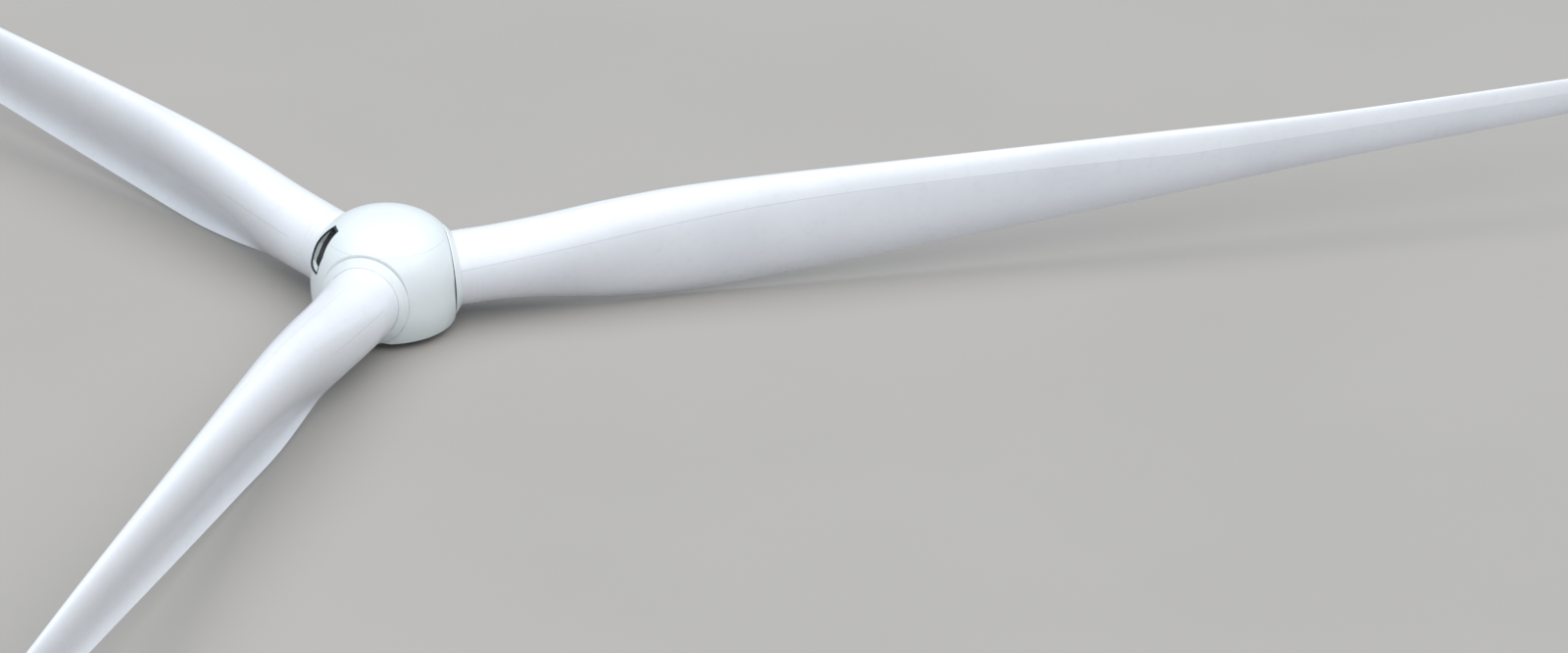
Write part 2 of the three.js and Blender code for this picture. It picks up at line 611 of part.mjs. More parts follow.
// A closed skin over rings of equal counts, shut at both ends by fans.
function skinOver(rings) {
  const count = rings[0].length;
  const points = rings.flat();
  const faces = [];
  for (let i = 0; i + 1 < rings.length; i++) {
    for (let k = 0; k < count; k++) {
      const [a, b] = [i * count + k, i * count + ((k + 1) % count)];
      faces.push(a, b, a + count, b, b + count, a + count);
    }
  }
  const centre = (ring) => ring.reduce((sum, p) => sum.add(p), new THREE.Vector3()).divideScalar(count);
  const start = points.push(centre(rings[0])) - 1;
  const end = points.push(centre(rings[rings.length - 1])) - 1;
  const lastRing = (rings.length - 1) * count;
  for (let k = 0; k < count; k++) {
    const next = (k + 1) % count;
    faces.push(start, next, k, end, lastRing + k, lastRing + next);
  }
  const geometry = new THREE.BufferGeometry().setFromPoints(points);
  geometry.setIndex(faces);
  geometry.computeVertexNormals();
  return geometry;
}

function bladeShell(degrees) {
  const boreEnd = ROOT_FACE + ROOT_BORE_DEPTH;
  const rings = [circleRing(ROOT_BORE, boreEnd), circleRing(ROOT_BORE, ROOT_FACE)];
  for (const x of STATIONS) rings.push(sectionRing(x, sectionValue("chord", x), x));
  const tipChord = sectionValue("chord", TIP_START);
  for (const step of TIP_STEPS) {
    const share = Math.sqrt(1 - step * step * (1 - TIP_CHORD_SHARE ** 2));
    const x = TIP_START + (ROTOR_RADIUS - TIP_START) * step;
    rings.push(sectionRing(TIP_START, tipChord * share, x));
  }
  return toBlade(skinOver(rings), degrees);
}

function rootCollar(degrees) {
  const bore = (ROOT_RADIUS + SEAT_GAP) / Math.cos(Math.PI / COLLAR_SIDES);
  const profile = [
    [bore, COLLAR_BACK], [COLLAR_RADIUS, COLLAR_BACK], [COLLAR_RADIUS, COLLAR_EDGE],
    [bore + COLLAR_NOSE, COLLAR_FRONT], [bore, COLLAR_FRONT],
  ];
  return toBlade(turnedRing(profile, COLLAR_SIDES).rotateY(Math.PI / 2), degrees);
}

// Assembly

const casting = hubCasting();
const flangeTop = SHAFT_FLANGE_DEPTH + SEAT_GAP;
addNode("hub_casting", geometryOf(slice(casting, flangeTop, 2 * BALL_RADIUS)), "casting");
addNode("shaft_flange", geometryOf(slice(casting, 0, SHAFT_FLANGE_DEPTH)), "casting");
addNode("nose_plate", nosePlate(), "casting");
addNode("nose_frame", geometryOf(noseFrame()), "bracket");
addNode("lifting_lug", geometryOf(liftingLug()), "bracket");

addNode("slot_frame", geometryOf(slotFrame()), "gelcoat");
addNode("slot_seal", geometryOf(slotSeal()), "rubber");

const slot = slotBar(0);
const side = withOpenings(sideSolid(), -COVER_RIM_DROP, SEAM_HEIGHT).subtract(slot);
const dome = withOpenings(domeSolid(), SEAM_HEIGHT + SEAT_GAP, COVER_APEX).subtract(slot);
addNode("nose_dome", geometryOf(dome), "gelcoat");
for (const [number, degrees] of Object.entries(PANEL_TURNS)) {
  addNode("side_panel_" + number, geometryOf(side.intersect(third(degrees))), "gelcoat");
  addNode("cover_stay_" + number, geometryOf(coverStay(degrees)), "bracket");
}

forEachBlade((letter, degrees) => {
  addNode("bearing_outer_" + letter, bearingOuterRing(degrees), "steel");
  addNode("bearing_inner_" + letter, bearingInnerRing(degrees), "steel");
  addNode("pitch_drive_" + letter, pitchDrive(degrees), "motor");
  addNode("blade_shell_" + letter, bladeShell(degrees), "blade");
  addNode("root_collar_" + letter, rootCollar(degrees), "collar");
});

export default rotor;
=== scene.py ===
# %% [markdown]
# # A wind turbine rotor, dressed in Blender
# The object is a three-bladed rotor at one tenth of its real size: a hub under a rounded white cover, and
# three blades that turn about their own length. The solids come from a CAD program and already have the
# right sizes, so this notebook only adds what a close look shows: smooth skins, seams, edges and painted
# finishes. Each step is a pair of cells, one that explains and one that makes.

# %% [markdown]
# ## The frame
# Every piece is drawn in the coordinates of the CAD model: metres, +Z along the rotor's axis towards the
# nose, +X along blade b. We could model around the origin and fit the parts afterwards, but drawing in the
# final coordinates from the start means that nothing ever has to be moved.

import json
import math

import bpy
import numpy as np
from mathutils import Matrix


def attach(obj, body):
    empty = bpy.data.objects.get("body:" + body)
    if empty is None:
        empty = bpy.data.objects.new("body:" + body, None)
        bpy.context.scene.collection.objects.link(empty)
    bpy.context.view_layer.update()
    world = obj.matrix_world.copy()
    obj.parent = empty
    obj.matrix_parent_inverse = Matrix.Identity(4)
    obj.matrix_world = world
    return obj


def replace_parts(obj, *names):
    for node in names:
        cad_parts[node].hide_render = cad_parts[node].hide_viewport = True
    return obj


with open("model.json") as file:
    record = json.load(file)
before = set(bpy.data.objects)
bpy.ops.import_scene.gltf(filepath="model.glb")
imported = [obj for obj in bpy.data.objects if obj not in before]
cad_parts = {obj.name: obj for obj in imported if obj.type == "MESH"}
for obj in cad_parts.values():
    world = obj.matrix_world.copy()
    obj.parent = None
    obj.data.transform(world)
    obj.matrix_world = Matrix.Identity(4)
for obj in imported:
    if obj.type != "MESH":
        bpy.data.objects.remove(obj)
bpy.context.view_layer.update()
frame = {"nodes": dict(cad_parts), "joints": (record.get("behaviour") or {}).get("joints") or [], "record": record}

# %% [markdown]
# ## The camera
# The photograph was taken from far away with a long lens. A camera can be aimed with angles, but when the
# view was worked out from the picture it is clearer to keep what was found: where the camera stands, and
# the directions of its right side, its top and its line of sight. Those three directions are the columns of
# the camera's rotation, with the sight line turned round, because a Blender camera looks along its own -Z.

# %% Camera
CAMERA_PLACE = (-3.1217, -17.5138, 8.7166)
CAMERA_RIGHT = (0.96935, -0.24539, 0.01186)
CAMERA_UP = (0.09793, 0.43023, 0.89739)
SENSOR_WIDTH = 36.0  # in millimetres
PICTURE_WIDTH = 1600  # in pixels
FOCAL_PIXELS = 5820.3  # the focal length, in pixels of a picture that wide
FARTHEST_SEEN = 1000  # in metres

right = np.array(CAMERA_RIGHT) / np.linalg.norm(CAMERA_RIGHT)
back = np.cross(right, CAMERA_UP)
back /= np.linalg.norm(back)
turn = np.eye(4)
turn[:3, :3] = np.column_stack([right, np.cross(back, right), back])
turn[:3, 3] = CAMERA_PLACE

camera = bpy.data.objects.new("camera", bpy.data.cameras.new("camera"))
camera.data.sensor_width = SENSOR_WIDTH
camera.data.lens = FOCAL_PIXELS / PICTURE_WIDTH * SENSOR_WIDTH
camera.data.clip_end = FARTHEST_SEEN
camera.matrix_world = Matrix(turn.tolist())
bpy.context.scene.collection.objects.link(camera)
bpy.context.scene.camera = camera
print("camera", round(math.hypot(*CAMERA_PLACE), 2), "m away, lens", round(camera.data.lens, 1), "mm")

# %% [markdown]
# ## Points and faces
# Nearly every skin in this notebook is a grid: rows of points, each row as long as the next, joined into
# four-sided faces. Blender's own primitives would be quicker to type, but a grid of computed points can
# follow any formula, and numpy works out all of its points at once.

# %% Grids and meshes
MM = 0.001
WELD_DIGITS = 7  # points that agree to so many decimals of a metre are one point
SHARP_ANGLE = math.radians(32)
MAP_NAME = "section"


def grid_faces(rows, columns, ring=False):
    """Quads of a grid of points counted row by row. A ring also joins the last column to the first."""
    i, j = np.meshgrid(np.arange(rows - 1), np.arange(columns if ring else columns - 1), indexing="ij")
    after = (j + 1) % columns
    corners = [i * columns + j, i * columns + after, (i + 1) * columns + after, (i + 1) * columns + j]
    return np.stack(corners, -1).reshape(-1, 4)


def new_piece(name, points, faces, finish, body=None, own_map=None):
    """A mesh object at the origin, given in metres, that rides on a CAD body. Points that coincide are
    welded, and faces that collapse are dropped. A map of its own holds U and V for each corner of each
    face."""
    mesh = bpy.data.meshes.new(name)
    flat, index = np.unique(np.round(points.reshape(-1, 3), WELD_DIGITS), axis=0, return_inverse=True)
    corners = index.reshape(-1)[faces].tolist()
    picks = [[face.index(point) for point in dict.fromkeys(face)] for face in corners]
    whole = [n for n, pick in enumerate(picks) if len(pick) > 2]
    mesh.from_pydata(flat.tolist(), [], [[corners[n][k] for k in picks[n]] for n in whole])
    if own_map is not None:
        layer = mesh.uv_layers.new(name=MAP_NAME)
        layer.data.foreach_set("uv", np.concatenate([own_map[n][picks[n]] for n in whole]).ravel())
    mesh.shade_smooth()
    mesh.set_sharp_from_angle(angle=SHARP_ANGLE)
    mesh.materials.append(finish)
    piece = bpy.data.objects.new(name, mesh)
    bpy.context.scene.collection.objects.link(piece)
    if body:
        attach(piece, body)
    return piece


for ring in (False, True):
    print("a grid of 3 by 4 points, with ring", ring, "has", len(grid_faces(3, 4, ring)), "faces")

# %% [markdown]
# ## Shader maths
# A finish varies over a surface by arithmetic on coordinates and noise. Wiring Math nodes by hand hides
# that arithmetic, so a small class stands for a node's output and turns +, -, * and ** into Math nodes. A
# second class holds one material and makes any other node from its type, settings and inputs.

# %% Sockets that can be added and multiplied


class Wire:
    """One output socket. Sums, products and so on with other wires or numbers make Math nodes."""

    def __init__(self, finish, socket):
        self.finish, self.socket = finish, socket

    def maths(self, operation, *others):
        """A Math node with this wire as its first input and the others after it."""
        inputs = dict(enumerate([self, *others]))
        return self.finish.node("ShaderNodeMath", {"operation": operation}, inputs)

    def __add__(self, other):
        return self.maths("ADD", other)

    def __sub__(self, other):
        return self.maths("SUBTRACT", other)

    def __rsub__(self, other):
        return self * -1 + other

    def __mul__(self, other):
        return self.maths("MULTIPLY", other)

    def __pow__(self, other):
        return self.maths("POWER", other)

    __radd__ = __add__
    __rmul__ = __mul__

    def smooth(self, low, high):
        """0 below low, 1 above high, and an S-curve between them."""
        return self.finish.node(
            "ShaderNodeMapRange",
            {"interpolation_type": "SMOOTHSTEP"},
            {"Value": self, "From Min": low, "From Max": high},
        )

    def line(self, half, core):
        """1 where the value is near 0, and 0 from half away on either side, where the share of half that is
        called core stays at 1."""
        return 1 - self.maths("ABSOLUTE").smooth(half * core, half)


MIX_FACTOR, MIX_FIRST, MIX_SECOND, MIX_COLOUR = 0, 6, 7, 2  # the Mix node's sockets for colours, by number


class Finish:
    """A material with one Principled shader. Constant values are set on the shader's own sockets."""

    def __init__(self, name, colour, roughness, **constants):
        self.material = bpy.data.materials.new(name)
        self.material.use_nodes = True
        self.material.diffuse_color = (*colour, 1)
        self.tree = self.material.node_tree
        self.shader = self.tree.nodes["Principled BSDF"]
        self.colour = colour
        self.feed(self.shader.inputs["Base Color"], (*colour, 1))
        self.feed(self.shader.inputs["Roughness"], roughness)
        for name_of_socket, value in constants.items():
            self.feed(self.shader.inputs[name_of_socket.replace("_", " ")], value)
        self.place = self.node("ShaderNodeTexCoord", output="Object")

    def feed(self, socket, value):
        """A wire is linked to the socket, and anything else becomes the socket's constant."""
        if isinstance(value, Wire):
            self.tree.links.new(value.socket, socket)
        else:
            socket.default_value = value

    def node(self, kind, settings=None, inputs=None, output=0):
        """A node of that type, with its settings set first and its inputs fed after them."""
        made = self.tree.nodes.new(kind)
        for key, value in (settings or {}).items():
            setattr(made, key, value)
        for key, value in (inputs or {}).items():
            self.feed(made.inputs[key], value)
        return Wire(self, made.outputs[output])

    def mix(self, mask, other):
        """The finish's own colour where the mask is 0, and the other one where it is 1."""
        inputs = {MIX_FACTOR: mask, MIX_FIRST: (*self.colour, 1), MIX_SECOND: (*other, 1)}
        return self.node("ShaderNodeMix", {"data_type": "RGBA"}, inputs, output=MIX_COLOUR)

    def noise(self, scale, detail, stretch=(1, 1, 1)):
        """Noise from 0 to 1 with so many bumps in a metre, drawn out along each axis by its stretch."""
        spread = [scale / s for s in stretch]
        at = self.node("ShaderNodeMapping", inputs={"Vector": self.place, "Scale": spread})
        return self.node("ShaderNodeTexNoise", inputs={"Vector": at, "Scale": 1.0, "Detail": detail})

    def patches(self, scale, detail, low, high, stretch=(1, 1, 1)):
        """Noise as patches: 0 where it is below low, 1 where it is above high, and soft between them."""
        return self.noise(scale, detail, stretch).smooth(low, high)

    def height(self):
        """The point's height, its Z coordinate, in metres."""
        return self.node("ShaderNodeSeparateXYZ", inputs={"Vector": self.place}, output="Z")

    def map_value(self, letter):
        """U or V of the piece's own map."""
        at = self.node("ShaderNodeUVMap", {"uv_map": MAP_NAME})
        return self.node("ShaderNodeSeparateXYZ", inputs={"Vector": at}, output="UV".index(letter))

    def paint(self, colour, roughness, relief, depth):
        """Feeds the sockets that vary. Relief runs from 0 to 1, and depth is its size in metres."""
        self.feed(self.shader.inputs["Base Color"], colour)
        self.feed(self.shader.inputs["Roughness"], roughness)
        bump = {"Height": relief, "Distance": depth, "Strength": 1.0}
        self.feed(self.shader.inputs["Normal"], self.node("ShaderNodeBump", inputs=bump))
        return self.material


print("classes ready:", Wire.__name__, Finish.__name__)

# %% [markdown]
# ## White gelcoat
# The cover and the blades are glass fibre with a pigmented resin on the outside, gelcoat. It is white, half
# glossy, and never perfectly even: broad clouds of slightly different white, faint marks where water has
# run down, a fine orange-peel waviness, and more dirt low down. One material function makes all the whites
# with different amounts, because they are the same stuff from different moulds. The cover's white is a
# little greener than the blades'. A pattern of patches is given by four numbers: bumps in a metre, detail,
# and the two values of the noise between which it goes from none to full.

# %% Gelcoat finishes
COVER_WHITE, COVER_DULL = (0.80, 0.845, 0.845), (0.52, 0.56, 0.55)
COVER_ROUGH, COLLAR_ROUGH, GRIME_ROUGHER, SPLASH_ROUGHER = 0.30, 0.34, 0.5, 0.12
COVER_RUNS, COLLAR_RUNS = 12, 4  # how many times as long as wide the marks of running water are
CLOUDS, STREAKS, SPECKS = (2.6, 5.0, 0.40, 0.72), (34.0, 4.0, 0.50, 0.80), (260.0, 2.0, 0.70, 0.78)
CLOUD_DIRT, STREAK_DIRT, SPECK_DIRT, SPLASH_DIRT, COLLAR_DIRT = 0.16, 0.14, 0.10, 0.5, 1.3
PEEL, PEEL_DEPTH = (420.0, 2.0), 0.00012  # bumps in a metre and detail, and the depth in metres
RIM_HEIGHT, SPLASH_TOP = 0.028, 0.17  # splashed dirt goes from the cover's lower edge to here, in metres
SPLASH_NOISE, SPLASH_VARIED, SPLASH_EVEN = (22.0, 5.0, (1, 1, 3)), 0.6, 0.25


def gelcoat(name, white, rough, runs):
    """A white finish, the sum of its clouds, streaks and specks of noise, and its waviness."""
    finish = Finish(name, white, rough, Coat_Weight=0.25, Coat_Roughness=0.12, Specular_IOR_Level=0.45)
    streaks = finish.patches(*STREAKS, (1, 1, runs)) * STREAK_DIRT
    grime = finish.patches(*CLOUDS) * CLOUD_DIRT + streaks + finish.patches(*SPECKS) * SPECK_DIRT
    return finish, grime, finish.noise(*PEEL)


finish, grime, peel = gelcoat("white_cover_gelcoat", COVER_WHITE, COVER_ROUGH, COVER_RUNS)
splash = 1 - finish.height().smooth(RIM_HEIGHT, SPLASH_TOP)
splash = splash * (finish.noise(*SPLASH_NOISE) * SPLASH_VARIED + SPLASH_EVEN)
colour = finish.mix(grime + splash * SPLASH_DIRT, COVER_DULL)
roughness = COVER_ROUGH + grime * GRIME_ROUGHER + splash * SPLASH_ROUGHER
cover_gelcoat = finish.paint(colour, roughness, peel, PEEL_DEPTH)

finish, grime, peel = gelcoat("white_collar_gelcoat", COVER_WHITE, COLLAR_ROUGH, COLLAR_RUNS)
colour = finish.mix(grime * COLLAR_DIRT, COVER_DULL)
collar_gelcoat = finish.paint(colour, COLLAR_ROUGH + grime * GRIME_ROUGHER, peel, PEEL_DEPTH)
print("gelcoat finishes:", cover_gelcoat.name, collar_gelcoat.name)

# %% [markdown]
# ## Lines on the blades
# A blade is moulded as two half shells glued along the leading and the trailing edge, so a thin bond line
# runs along both. On the suction side a third line, where the shell's thick middle starts, runs from the
# root to past half of the blade. Its twin on the pressure side is short and fades out before the blade is
# widest. These lines follow the blade and not the room, so they are drawn with the blade's own map: U runs
# once round the section from the trailing edge, so 0.5 is the leading edge and more than 0.5 the suction
# side, and V is the distance from the rotor's axis in metres. The long line is a parabola in that map as
# far as where it goes on straight, and the short one is straight.

# %% Lines of the blade finish
# BLADE_DULL is the colour of dirt and seams, and also of the painted shade behind the long line and along the
# trailing edge.
BLADE_WHITE, BLADE_DULL, BLADE_ROUGH = (0.83, 0.84, 0.865), (0.57, 0.58, 0.62), 0.30
BLADE_RUNS = 1
LEADING_U = 0.5
LINE_HALF = 0.0028  # of every thin line, in U
BOND_CORE, SHELL_CORE = 0.4, 0.3  # the shares of that half width over which a line is full
SHELL_LINE_U, SHELL_LINE_V, SHELL_LINE_OPENING = 0.650, 1.6, 0.030
SHELL_LINE_STRAIGHT, SHELL_LINE_FADE, SHELL_LINE_END = 2.9, 3.6, 4.4
SHORT_LINE_U = 0.313
SHORT_LINE_START, SHORT_LINE_FULL, SHORT_LINE_FADE, SHORT_LINE_END = 0.36, 0.40, 0.66, 0.92

finish, grime, peel = gelcoat("white_blade_gelcoat", BLADE_WHITE, BLADE_ROUGH, BLADE_RUNS)
around, along = finish.map_value("U"), finish.map_value("V")
from_leading = (around - LEADING_U).maths("ABSOLUTE")
bond = from_leading.maths("MINIMUM", LEADING_U - from_leading).line(LINE_HALF, BOND_CORE)
bow = (along.maths("MINIMUM", SHELL_LINE_STRAIGHT) - SHELL_LINE_V) ** 2
from_line = around - SHELL_LINE_U - bow * SHELL_LINE_OPENING
long_line = from_line.line(LINE_HALF, SHELL_CORE) * (1 - along.smooth(SHELL_LINE_FADE, SHELL_LINE_END))
reach = along.smooth(SHORT_LINE_START, SHORT_LINE_FULL) - along.smooth(SHORT_LINE_FADE, SHORT_LINE_END)
lines = long_line + (around - SHORT_LINE_U).line(LINE_HALF, SHELL_CORE) * reach
print("thin lines of the blade are", 2 * LINE_HALF, "of the way round it")

# %% [markdown]
# ## The rest of the blade finish
# Behind the long line the skin is a little greyer, and further out it darkens more, which is painted shade.
# A narrow band of the trailing edge is painted dark as well, a painted shadow along that edge. The outer
# third of the leading edge wears a strip of clear film against rain, slightly glossier, and near the tip
# sits a metal button that leads lightning down. They could be pieces of their own, but none of them stands
# out from the skin, so each is a mask in the same map. The masks add up to the share of dull colour and to
# the relief.

# %% Areas of the blade finish
FILM_START, FILM_FULL = 3.4, 3.41  # metres from the axis
FILM_HALF, FILM_CORE = 0.055, 0.96  # in U to each side of the leading edge, and the share that is full
# The band is a painted shadow, a dark strip along the trailing edge.
BAND, BAND_CORE = 0.0055, 0.6  # in U from the trailing edge, and the share that is full
BAND_START, BAND_FULL = 0.50, 0.95
# Behind the long line the skin is a shade greyer, and from 1.2 m outwards painted shade darkens it more.
FACE_SOFT, FACE_GREY, FACE_PAINTED_SHADE = 0.004, 0.14, 0.20  # grey behind the long line, and more further out
FACE_SHADE_START, FACE_SHADE_FULL = 1.2, 2.4
BUTTON_U, BUTTON_V, BUTTON_RADIUS, BUTTON_CORE = 0.30, 5.12, 0.0035, 0.8
GIRTH_AT_BUTTON = 0.16  # metres round the section there
BOND_DIRT, LINE_DIRT, FILM_DIRT, BAND_SHADE = 0.15, 0.55, 0.10, 0.8
PEEL_RELIEF, BOND_RELIEF, FILM_RELIEF, LINE_RELIEF = 0.3, 0.4, 0.6, -0.8
BLADE_RELIEF_DEPTH = 0.00025
FILM_ROUGHER = -0.12

film = from_leading.line(FILM_HALF, FILM_CORE) * along.smooth(FILM_START, FILM_FULL)
# Painted shadow along the trailing edge, from half a metre out.
edge_shade = from_leading.smooth(LEADING_U - BAND, LEADING_U - BAND * BAND_CORE)
edge_shade = edge_shade * along.smooth(BAND_START, BAND_FULL)
# The face: a greyer shell behind the long line, with painted shade added further out.
face = from_line.smooth(0, FACE_SOFT)
face = face * (along.smooth(FACE_SHADE_START, FACE_SHADE_FULL) * FACE_PAINTED_SHADE + FACE_GREY)
from_button = ((around - BUTTON_U) * GIRTH_AT_BUTTON) ** 2 + (along - BUTTON_V) ** 2
button = from_button.line(BUTTON_RADIUS**2, BUTTON_CORE)
# The sum mixes real dirt, seams, film and button with the painted shade behind the long line and the painted
# shadow along the trailing edge.
shade = grime + bond * BOND_DIRT + lines * LINE_DIRT + face + film * FILM_DIRT + edge_shade * BAND_SHADE + button
relief = peel * PEEL_RELIEF + bond * BOND_RELIEF + film * FILM_RELIEF + lines * LINE_RELIEF
colour = finish.mix(shade.maths("MINIMUM", 1.0), BLADE_DULL)
roughness = BLADE_ROUGH + grime * GRIME_ROUGHER + film * FILM_ROUGHER
blade_gelcoat = finish.paint(colour, roughness, relief, BLADE_RELIEF_DEPTH)
finish.feed(finish.shader.inputs["Metallic"], button)
print("blade finish with film from", FILM_START, "m")

# %% [markdown]
# ## Metal, paint and rubber
# Under the cover are a cast-iron hub in grey paint, turned bearing rings, dark brackets and the pitch
# drives. They are seen only from below and through the lifting opening, yet each has the relief of how it
# was made: sand-cast grain, turning marks, sprayed paint, and the matt bloom of rubber. The cover's inside
# has no gelcoat. It is bare laminate with the crossed strands of its glass cloth showing as a faint relief,
# and its dark slate colour is partly painted shade, the shade that fills the inside of the cover. All six
# are one function with different numbers: a colour that patches of wear, stain or oil turn towards a second
# colour and make rougher or smoother, over a relief of noise.

# %% Other finishes
def worn_finish(name, colour, worn, share, patches, rough, rougher, relief, depth, **constants):
    """Patches of noise turn the colour by a share towards the worn one and change the roughness by so much.
    The relief is the mean of one or more noises, each given by bumps in a metre, detail and stretch."""
    finish = Finish(name, colour, rough, **constants)
    worn_off = finish.patches(*patches)
    noises = [finish.noise(*noise) for noise in relief]
    height = sum(noises[1:], noises[0]) * (1 / len(noises))
    return finish.paint(finish.mix(worn_off * share, worn), rough + worn_off * rougher, height, depth)


cast_paint = worn_finish(
    "painted_cast_iron", (0.62, 0.63, 0.61), worn=(0.40, 0.41, 0.40), share=0.5,
    patches=(14.0, 5.0, 0.6, 0.8), rough=0.45, rougher=0.3, relief=[(150.0, 5.0)], depth=0.0006,
)
turned_steel = worn_finish(
    "turned_bearing_steel", (0.50, 0.51, 0.53), worn=(0.33, 0.32, 0.31), share=0.5,
    patches=(30.0, 4.0, 0.5, 0.8), rough=0.28, rougher=0.3, relief=[(900.0, 2.0, (1, 1, 8))], depth=0.00008,
    Metallic=1.0,
)
bracket_paint = worn_finish(
    "dark_bracket_paint", (0.085, 0.122, 0.15), worn=(0.25, 0.26, 0.27), share=0.6,
    patches=(45.0, 5.0, 0.62, 0.75), rough=0.42, rougher=0.25, relief=[(500.0, 2.0)], depth=0.0001,
)
drive_paint = worn_finish(
    "grey_drive_paint", (0.11, 0.16, 0.22), worn=(0.05, 0.06, 0.07), share=0.5,
    patches=(26.0, 4.0, 0.5, 0.75), rough=0.46, rougher=-0.2, relief=[(450.0, 2.0)], depth=0.0001,
)
seal_rubber = worn_finish(
    "black_seal_rubber", (0.024, 0.034, 0.042), worn=(0.075, 0.08, 0.085), share=0.5,
    patches=(60.0, 4.0, 0.45, 0.8), rough=0.6, rougher=0.25, relief=[(700.0, 2.0)], depth=0.0001,
)
# Bare laminate whose dark slate colour is partly painted shade for the cover's shadowed inside.
laminate_and_painted_shade = worn_finish(
    "laminate_and_painted_shade", (0.068, 0.102, 0.125), worn=(0.125, 0.17, 0.19), share=0.7,
    patches=(20.0, 5.0, 0.35, 0.75), rough=0.5, rougher=0.25,
    relief=[(240.0, 2.0, (1, 1, 9)), (240.0, 2.0, (9, 9, 1))], depth=0.0003,
)
others = (cast_paint, turned_steel, bracket_paint, drive_paint, seal_rubber, laminate_and_painted_shade)
print("other finishes:", [material.name for material in others])

# %% [markdown]
# ## Where the blades point
# Each blade is made once, along +X, and then placed. Its direction could be typed in again, but the packed
# record already holds the axis of each blade's joint, so the placing uses that axis: the blade can't end up
# out of line with the hinge it turns on.

# %% Placing along a blade's axis
blade_joints = {joint["child"][-1]: joint for joint in frame["joints"]}


def to_blade(points, letter):
    """Points in millimetres, made along +X about the origin, set in metres on that blade's joint axis: each
    coordinate times one of the blade's three directions, plus the joint's place."""
    joint = blade_joints[letter]
    out = np.array(joint["axis"]) / np.linalg.norm(joint["axis"])
    side = np.cross([0, 0, 1], out)
    side /= np.linalg.norm(side)
    frame_of_blade = np.array([out, side, np.cross(out, side)])
    return points.reshape(-1, 3) * MM @ frame_of_blade + np.array(joint["pos_m"])


one_metre_out = np.array([1 / MM, 0, 0])
for letter in blade_joints:
    print("one metre out, blade", letter, "is at", np.round(to_blade(one_metre_out, letter)[0], 3))

# %% [markdown]
# ## The blade's sections
# A blade is a circle at its root and a wing section further out. We list the sections at eleven stations:
# chord, thickness, where the chord crosses the blade's axis, twist, how far the circle has become a wing,
# and how deep its pressure side is hollowed and where most. Straight lines between the stations would show
# as kinks in the light, so a smooth curve joins them: a cubic through each pair of stations whose slope at a
# station is that of the line between its two neighbours. From here on the rotor's sizes are millimetres, as
# in the CAD program, and shares are of the chord.

# %% Section table
ROTOR_RADIUS = 5250
ROOT_FACE = 172.3
TIP_START = 5000
TIP_CHORD_SHARE = 0.16  # what the tip's very end keeps
CAMBER = 0.05
CAMBER_PEAK = 6.75  # makes s^2 (1 - s) rise to 1
EDGE_THICKNESS = 0.006  # of the trailing edge
SUCTION_SHARE = 0.25  # of the pressure side's hollow, by which the suction side is fuller
EDGE_CUT = 0.0058  # what the blunt edges take off the pure formula's chord, both together
WING_CURVE = (0.2969, -0.126, -0.3516, 0.2843, -0.1036)  # shares of sqrt(s), s, s^2, s^3 and s^4
BEND, BEND_START, BEND_POWER = 104, 300, 2.4

STATIONS = np.array([ROOT_FACE, 330, 550, 800, 1050, 1400, 2000, 2750, 3420, 4300, TIP_START])
SHAPES = {
    "chord": np.array([260, 260, 296, 359, 391, 375, 327, 257, 190, 144, 105.0]),
    "thickness": np.array([1, 1, 0.79, 0.55, 0.427, 0.346, 0.274, 0.224, 0.19, 0.17, 0.16]),
    "axis": np.array([0.5, 0.5, 0.472, 0.451, 0.444, 0.449, 0.439, 0.428, 0.406, 0.391, 0.381]),
    "twist": np.radians([3.4, 3.4, 2.7, 2.2, 2.0, 1.7, 1.0, 0.1, -0.7, -1.7, -2.5]),
    "foil": np.array([0, 0, 0.35, 0.8, 1, 1, 1, 1, 1, 1, 1.0]),
    "hollow": np.array([0, 0, 0, 0.08, 0.09, 0.075, 0.062, 0.052, 0.045, 0.04, 0.035]),
    "fold": np.array([0.9, 0.9, 0.9, 0.87, 0.83, 0.81, 0.8, 0.8, 0.8, 0.8, 0.8]),
}


def section_value(key, radius):
    """The cubic between stations: value and slope at both ends fix it. The first two slopes are zero."""
    values = SHAPES[key]
    slopes = np.zeros(len(values))
    slopes[2:-1] = (values[3:] - values[1:-2]) / (STATIONS[3:] - STATIONS[1:-2])
    slopes[-1] = (values[-1] - values[-2]) / (STATIONS[-1] - STATIONS[-2])
    i = np.clip(np.searchsorted(STATIONS, radius, side="right") - 1, 0, len(STATIONS) - 2)
    span = STATIONS[i + 1] - STATIONS[i]
    t = np.clip((radius - STATIONS[i]) / span, 0, 1)
    low, high = values[i], values[i + 1]
    start, end = slopes[i] * span, slopes[i + 1] * span
    return (
        (2 * t**3 - 3 * t**2 + 1) * low + (t**3 - 2 * t**2 + t) * start
        + (3 * t**2 - 2 * t**3) * high + (t**3 - t**2) * end
    )


print("chord at 1.2 m:", round(float(section_value("chord", np.array([1200.0]))[0]), 1), "mm")

# %% [markdown]
# ## The blade's skin
# The skin is a function of two parameters, the distance along the blade and the angle round the section. A
# modeller could also loft it from curves by hand; with the formula the same skin comes at any fineness, and
# the light runs evenly along five metres of it. The thickness follows the classic four-digit wing
# polynomial, the middle line is bent so that the pressure side is hollow towards the trailing edge, and the
# whole blade curves gently to its pressure side.

# %% Blade skins
AROUND = 144
ROOT_ROWS_END, ROOT_ROW_STEP = 340, 1.6
MIDDLE_START, MIDDLE_END, MIDDLE_ROWS = 341, 1500, 110
OUTER_START, OUTER_ROWS = 1510, 150
TIP_ROWS = 25
ROOT_BORE = 118
ROOT_BORE_END = 262.3
RING_PLACES = (279, 300)  # two raised rings on the root, from the rotor's axis
RING_HALF_WIDTH, RING_RISE = 4, 0.9  # at half of the rise, and the rise


